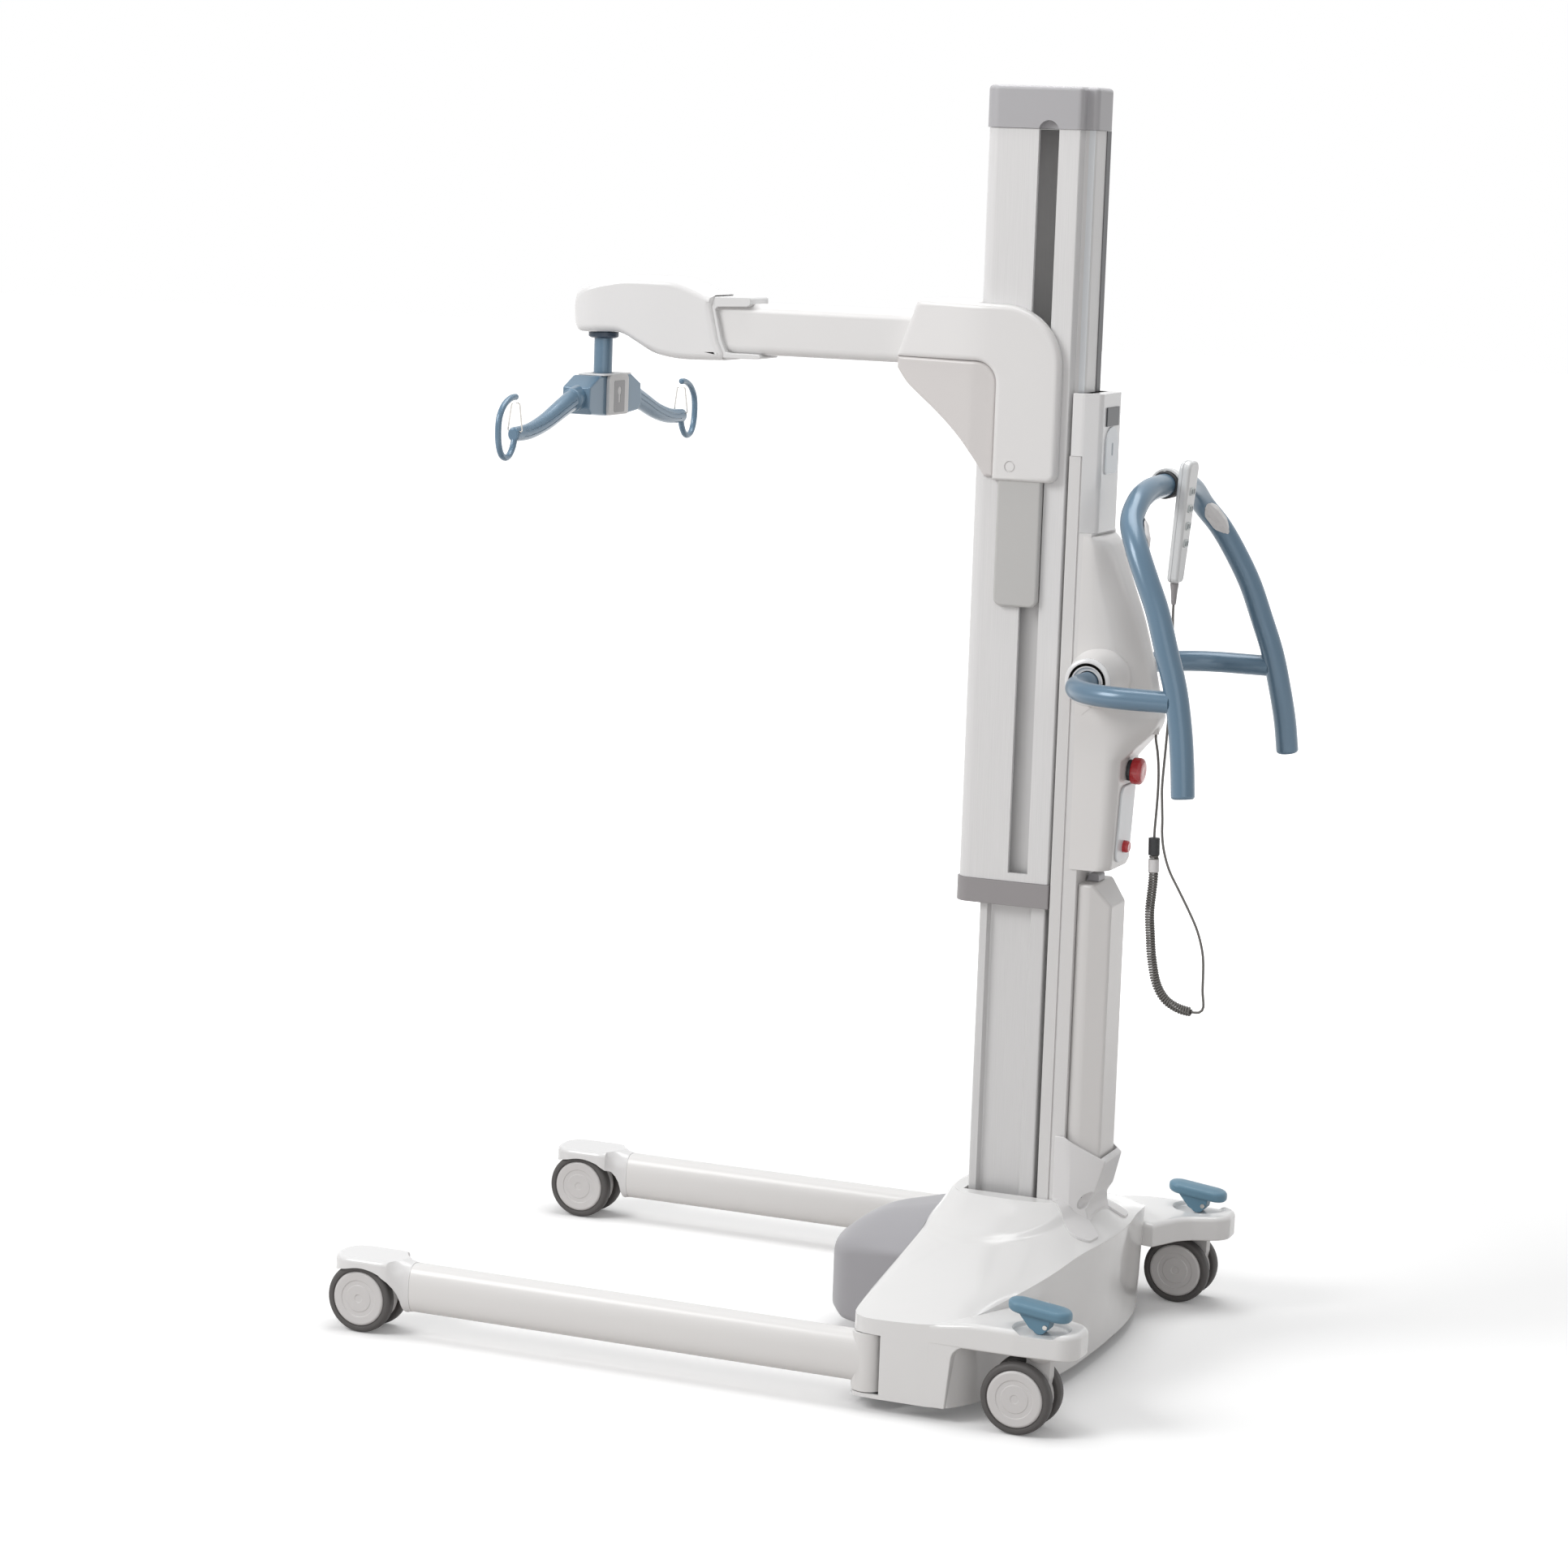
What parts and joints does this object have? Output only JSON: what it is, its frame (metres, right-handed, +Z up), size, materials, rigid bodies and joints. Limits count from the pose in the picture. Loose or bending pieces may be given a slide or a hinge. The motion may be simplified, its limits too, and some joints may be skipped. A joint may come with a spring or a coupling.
{
  "type": "patient floor lift",
  "caption": "Mobile patient floor lift: wide base with casters, telescopic mast, gusseted arm, hanger bar with gated hooks, push handle and corded hand control.",
  "frame": {"origin": "on the floor under the middle of the lift's outline, without its cords", "axes": "+Z up; -Y forward, the way the legs and the arm point; +X to the lift's own left"},
  "size_m": [0.807, 1.2054, 1.785],
  "materials": {
    "white_shell": "smooth white moulded shell",
    "pale_shell": "satin pale grey moulding",
    "powder_coat_pale": "satin white powder coat",
    "powder_coat_white": "gloss white powder coat",
    "grey_plastic": "satin mid grey",
    "light_grey_plastic": "satin light grey",
    "anodised": "satin anodised extrusion",
    "dark_steel": "dark painted steel",
    "blue_paint": "metallic slate blue powder coat",
    "blue_plastic": "slate blue moulding",
    "tread": "grey-black tread on pale wheel",
    "black_rubber": "matt black",
    "dark_gloss": "dark gloss",
    "red_button": "signal red",
    "cord_jacket": "soft grey jacket"
  },
  "bodies": {
    "base": {"base_chassis": "dark_steel", "base_cover": "white_shell", "front_cover": "grey_plastic", "mast_lower_profile": "anodised", "rear_column": "powder_coat_pale", "foot_shroud": "pale_shell", "control_housing": "white_shell", "control_head": "white_shell", "display_panel": "white_shell", "display_window": "dark_gloss", "rear_fascia": "pale_shell", "emergency_stop_collar": "dark_gloss", "battery_pack": "pale_shell", "hub_ring_left": "pale_shell", "hub_ring_right": "pale_shell", "handle_crossbar": "blue_paint", "push_handle": "blue_paint", "handle_pad_left": "pale_shell", "handle_pad_right": "pale_shell", "bridge_sleeve": "black_rubber", "hand_control": "white_shell", "hand_control_strain_relief": "grey_plastic", "cord_housing_lead": "cord_jacket", "cord_curly": "cord_jacket", "cord_hand_lead": "cord_jacket"},
    "mast_stage": {"mast_upper_profile": "powder_coat_pale", "mast_top_cap": "grey_plastic", "mast_bottom_cap": "grey_plastic"},
    "lifting_arm": {"arm_carriage": "powder_coat_pale", "arm_gusset": "white_shell", "elbow_cover": "white_shell", "arm_tube": "powder_coat_white", "head_cover": "white_shell", "head_trim": "light_grey_plastic"},
    "hanger_swivel": {"hanger_post": "blue_paint"},
    "hanger": {"hanger_bar": "blue_paint", "hub_cover": "light_grey_plastic"},
    "gate_left": {"hook_gate_left": "dark_steel"},
    "gate_right": {"hook_gate_right": "dark_steel"},
    "left_leg": {"leg_left": "powder_coat_white", "leg_end_casting_left": "powder_coat_white"},
    "right_leg": {"leg_right": "powder_coat_white", "leg_end_casting_right": "powder_coat_white"},
    "front_fork_left": {"caster_fork_front_left": "light_grey_plastic"},
    "front_fork_right": {"caster_fork_front_right": "light_grey_plastic"},
    "rear_fork_left": {"caster_fork_rear_left": "light_grey_plastic"},
    "rear_fork_right": {"caster_fork_rear_right": "light_grey_plastic"},
    "front_wheels_left": {"caster_wheels_front_left": "tread"},
    "front_wheels_right": {"caster_wheels_front_right": "tread"},
    "rear_wheels_left": {"caster_wheels_rear_left": "tread"},
    "rear_wheels_right": {"caster_wheels_rear_right": "tread"},
    "pedal_left": {"brake_pedal_left": "blue_plastic"},
    "pedal_right": {"brake_pedal_right": "blue_plastic"},
    "stop_button": {"emergency_stop_button": "red_button"},
    "lowering_button": {"lowering_button": "red_button"},
    "battery_latch": {"battery_latch": "grey_plastic"},
    "key_raise": {"hand_control_key_raise": "light_grey_plastic"},
    "key_lower": {"hand_control_key_lower": "light_grey_plastic"},
    "key_open_legs": {"hand_control_key_open_legs": "light_grey_plastic"},
    "key_close_legs": {"hand_control_key_close_legs": "light_grey_plastic"}
  },
  "joints": [
    {"name": "mast_lift", "type": "slide", "parent": "base", "child": "mast_stage", "axis": [0, 0, 1], "range_m": [-0.38, 0.235]},
    {"name": "arm_lift", "type": "slide", "parent": "mast_stage", "child": "lifting_arm", "axis": [0, 0, 1], "range_m": [-0.38, 0.235]},
    {"name": "hanger_swivel", "type": "hinge", "parent": "lifting_arm", "child": "hanger_swivel", "pos_m": [0, -0.3935, 1.4], "axis": [0, 0, 1], "continuous": true},
    {"name": "hanger_tilt", "type": "hinge", "parent": "hanger_swivel", "child": "hanger", "pos_m": [0, -0.3935, 1.328], "axis": [0, 1, 0], "range_deg": [-10, 10]},
    {"name": "gate_left", "type": "hinge", "parent": "hanger", "child": "gate_left", "pos_m": [0.283, -0.3935, 1.288], "axis": [0, 1, 0], "range_deg": [0, 25], "stiffness_Nm_per_rad": 0.02},
    {"name": "gate_right", "type": "hinge", "parent": "hanger", "child": "gate_right", "pos_m": [-0.283, -0.3935, 1.288], "axis": [0, -1, 0], "range_deg": [0, 25], "stiffness_Nm_per_rad": 0.02},
    {"name": "leg_spread_left", "type": "hinge", "parent": "base", "child": "left_leg", "pos_m": [0.368, 0.216, 0.071], "axis": [0, 0, 1], "range_deg": [0, 14]},
    {"name": "leg_spread_right", "type": "hinge", "parent": "base", "child": "right_leg", "pos_m": [-0.368, 0.216, 0.071], "axis": [0, 0, -1], "range_deg": [0, 14]},
    {"name": "front_swivel_left", "type": "hinge", "parent": "left_leg", "child": "front_fork_left", "pos_m": [0.365, -0.5485, 0.1032], "axis": [0, 0, 1], "continuous": true},
    {"name": "front_roll_left", "type": "hinge", "parent": "front_fork_left", "child": "front_wheels_left", "pos_m": [0.365, -0.5535, 0.05], "axis": [1, 0, 0], "continuous": true},
    {"name": "front_swivel_right", "type": "hinge", "parent": "right_leg", "child": "front_fork_right", "pos_m": [-0.365, -0.5485, 0.1032], "axis": [0, 0, 1], "continuous": true},
    {"name": "front_roll_right", "type": "hinge", "parent": "front_fork_right", "child": "front_wheels_right", "pos_m": [-0.365, -0.5535, 0.05], "axis": [1, 0, 0], "continuous": true},
    {"name": "rear_swivel_left", "type": "hinge", "parent": "base", "child": "rear_fork_left", "pos_m": [0.362, 0.4595, 0.1077], "axis": [0, 0, 1], "continuous": true},
    {"name": "rear_roll_left", "type": "hinge", "parent": "rear_fork_left", "child": "rear_wheels_left", "pos_m": [0.362, 0.4355, 0.05], "axis": [1, 0, 0], "continuous": true},
    {"name": "rear_swivel_right", "type": "hinge", "parent": "base", "child": "rear_fork_right", "pos_m": [-0.362, 0.4595, 0.1077], "axis": [0, 0, 1], "continuous": true},
    {"name": "rear_roll_right", "type": "hinge", "parent": "rear_fork_right", "child": "rear_wheels_right", "pos_m": [-0.362, 0.4355, 0.05], "axis": [1, 0, 0], "continuous": true},
    {"name": "brake_left", "type": "hinge", "parent": "base", "child": "pedal_left", "pos_m": [0.362, 0.4595, 0.148], "axis": [1, 0, 0], "range_deg": [-10, 10]},
    {"name": "brake_right", "type": "hinge", "parent": "base", "child": "pedal_right", "pos_m": [-0.362, 0.4595, 0.148], "axis": [1, 0, 0], "range_deg": [-10, 10]},
    {"name": "stop_press", "type": "slide", "parent": "base", "child": "stop_button", "axis": [0, -0.9989, 0.0472], "range_m": [0, 0.004], "stiffness_N_per_m": 3000},
    {"name": "lowering_press", "type": "slide", "parent": "base", "child": "lowering_button", "axis": [0, -0.9989, 0.0472], "range_m": [0, 0.003], "stiffness_N_per_m": 2000},
    {"name": "latch_slide", "type": "slide", "parent": "base", "child": "battery_latch", "axis": [0, 1, 0], "range_m": [0, 0.005], "stiffness_N_per_m": 1500},
    {"name": "key_raise_press", "type": "slide", "parent": "base", "child": "key_raise", "axis": [0, -0.9968, 0.0796], "range_m": [0, 0.001], "stiffness_N_per_m": 1000},
    {"name": "key_lower_press", "type": "slide", "parent": "base", "child": "key_lower", "axis": [0, -0.9968, 0.0796], "range_m": [0, 0.001], "stiffness_N_per_m": 1000},
    {"name": "key_open_legs_press", "type": "slide", "parent": "base", "child": "key_open_legs", "axis": [0, -0.9968, 0.0796], "range_m": [0, 0.001], "stiffness_N_per_m": 1000},
    {"name": "key_close_legs_press", "type": "slide", "parent": "base", "child": "key_close_legs", "axis": [0, -0.9968, 0.0796], "range_m": [0, 0.001], "stiffness_N_per_m": 1000}
  ],
  "couplings": [
    {"joint": "arm_lift", "follows": "mast_lift", "ratio": 1},
    {"joint": "leg_spread_right", "follows": "leg_spread_left", "ratio": 1}
  ]
}
